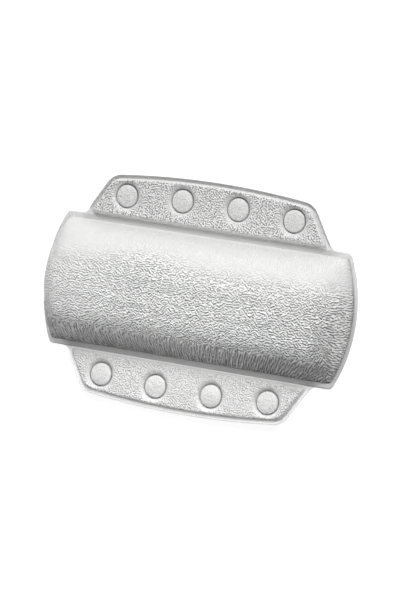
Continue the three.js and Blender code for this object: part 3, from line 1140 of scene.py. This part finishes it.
def place_flap(bm, side):
    """Moves a flap from its own axes to its hinge: side is 1 for the upper flap and -1 for the lower"""
    if side < 0:
        half_turn = Matrix.Rotation(math.pi, 3, "Z")
        bmesh.ops.rotate(bm, verts=bm.verts, cent=(0, 0, 0), matrix=half_turn)
    bmesh.ops.translate(bm, verts=bm.verts, vec=(0, side * hinge_y, hinge_z))
    return bm


def hinged(piece, flap, side):
    """Ties a sheet to the bolster along the crease and to the flap beyond it"""
    start = (0, side * hinge_y, hinge_z)
    end = (0, side * (hinge_y + crease_width), hinge_z)
    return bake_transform(piece, "bolster", flap, start, end)


flaps = (("upper", 1), ("lower", -1))
for name, side in flaps:
    front_bm = place_flap(flap_sheet("front", side), side)
    cover = piece_from(front_bm, name + "_flap_cover", flap_vinyl)
    subdivided(cover, 1)
    thickened(cover, vinyl)
    hinged(cover, name + "_flap", side)
    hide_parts(name + "_flap_front_cover")
    back_bm = place_flap(flap_sheet("back"), side)
    back = piece_from(back_bm, name + "_flap_back_sheet", back_material)
    subdivided(back, 1)
    thickened(back, vinyl)
    hinged(back, name + "_flap", side)
    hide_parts(name + "_flap_back_cover")
    print(name, "flap", len(cover.data.polygons), "and", len(back.data.polygons), "faces")


# %% [markdown]
# ## Foam in the flaps
#
# A sheet of foam fills each flap, with a hole where each round weld presses it away. The disc of
# foam that is left inside the weld hides the button head of a suction cup. It is turned about its
# own axis like a pot, from a profile of half its section.

# %% Flap foam
foam_drawn = 0.0009
foam_bottom = 0.0003


def foam_sheet():
    """A flap's foam: the drawn-in sheet with its copy pressed flat below it"""
    bm = flap_sheet("foam", drawn=foam_drawn)
    skin = list(bm.faces)
    lower = bmesh.ops.extrude_face_region(bm, geom=skin, use_keep_orig=True)["geom"]
    for v in lower:
        if isinstance(v, bmesh.types.BMVert):
            v.co.z = foam_bottom
    bmesh.ops.recalc_face_normals(bm, faces=bm.faces)
    return bm


def turned(profile, steps, x=0.0, y=0.0):
    """A profile of radius and height, spun once round an upright axis"""
    bm = bmesh.new()
    points = [bm.verts.new((radius, 0, height)) for radius, height in profile]
    edges = [bm.edges.new(pair) for pair in zip(points, points[1:])]
    whole_turn = 2 * math.pi
    bmesh.ops.spin(
        bm, geom=points + edges, cent=(0, 0, 0), axis=(0, 0, 1), angle=whole_turn, steps=steps,
        use_merge=True,
    )
    bmesh.ops.remove_doubles(bm, verts=bm.verts, dist=1e-6)
    bmesh.ops.recalc_face_normals(bm, faces=bm.faces)
    bmesh.ops.translate(bm, verts=bm.verts, vec=(x, y, 0))
    return bm


# The disc is hollow underneath for the button head, and domed on top
plug_radius = 0.0107
button_room = 0.0073
button_room_top = 0.0025
plug_edge = 0.0006
plug_dome = 0.0041
plug_steps = 8
plug_profile = [
    (0, button_room_top), (button_room, button_room_top), (button_room, foam_bottom),
    (plug_radius, foam_bottom), (plug_radius, plug_edge),
]
for step in range(1, plug_steps + 1):
    angle = math.pi / 2 * step / plug_steps
    plug_profile.append((plug_radius * math.cos(angle), plug_edge + plug_dome * math.sin(angle)))

for name, side in flaps:
    pad = piece_from(place_flap(foam_sheet(), side), name + "_flap_foam_sheet", foam_material)
    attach(pad, name + "_flap")
    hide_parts(name + "_flap_foam")
    for number, (x, y) in enumerate(zip(disc_x, disc_y), start=1):
        bm = place_flap(turned(plug_profile, 32, x, y), side)
        disc = piece_from(bm, f"{name}_foam_plug_{number}", foam_material)
        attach(disc, name + "_flap")
        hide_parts(f"{name}_foam_disc_{number}")
    print(name, "flap foam", len(pad.data.polygons), "faces, each disc", len(disc.data.polygons))


# %% [markdown]
# ## Suction cups
#
# A suction cup is a thin bell of soft clear vinyl with a lip that seals on the bath, a neck that goes
# through the back sheet and a button head that stays behind it. It is turned from one profile, with
# more points at the lip and where the bell meets its crown.

# %% Cups
# Radius and height above the bath: under the bell, round the lip, up the bell, the neck, the button
cup_profile = [(0, 0.0052), (0.0050, 0.0048), (0.0102, 0.0034), (0.0140, 0.0018), (0.0165, 0.0004),
               (0.0170, 0.0), (0.0185, 0.0), (0.0190, 0.0003), (0.0190, 0.0007), (0.0187, 0.0009),
               (0.0165, 0.0017), (0.0139, 0.0033), (0.0110, 0.0054), (0.0088, 0.0073), (0.0070, 0.0086),
               (0.0062, 0.0093), (0.0062, 0.0103), (0.0059, 0.0107), (0.0036, 0.0107), (0.0031, 0.0110),
               (0.0031, 0.0117), (0.0033, 0.0119), (0.0067, 0.0119), (0.0070, 0.0122), (0.0070, 0.0129),
               (0.0067, 0.0133), (0.0060, 0.0135), (0, 0.0135)]
for name, side in flaps:
    for number, (x, y) in enumerate(zip(disc_x, disc_y), start=1):
        bm = place_flap(turned(cup_profile, 48, x, y), side)
        bmesh.ops.translate(bm, verts=bm.verts, vec=(0, 0, -hinge_z))
        cup = piece_from(bm, f"{name}_cup_{number}", clear_material)
        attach(cup, f"{name}_suction_cup_{number}")
        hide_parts(f"{name}_suction_cup_{number}")
print("suction cups,", len(cup.data.polygons), "faces each")


# %% [markdown]
# ## Looking up the back sheets
#
# Last, each flap's back sheet is looked up once more.

# %% Finish
for name, side in flaps:
    back = bpy.data.objects[name + "_flap_back_sheet"]
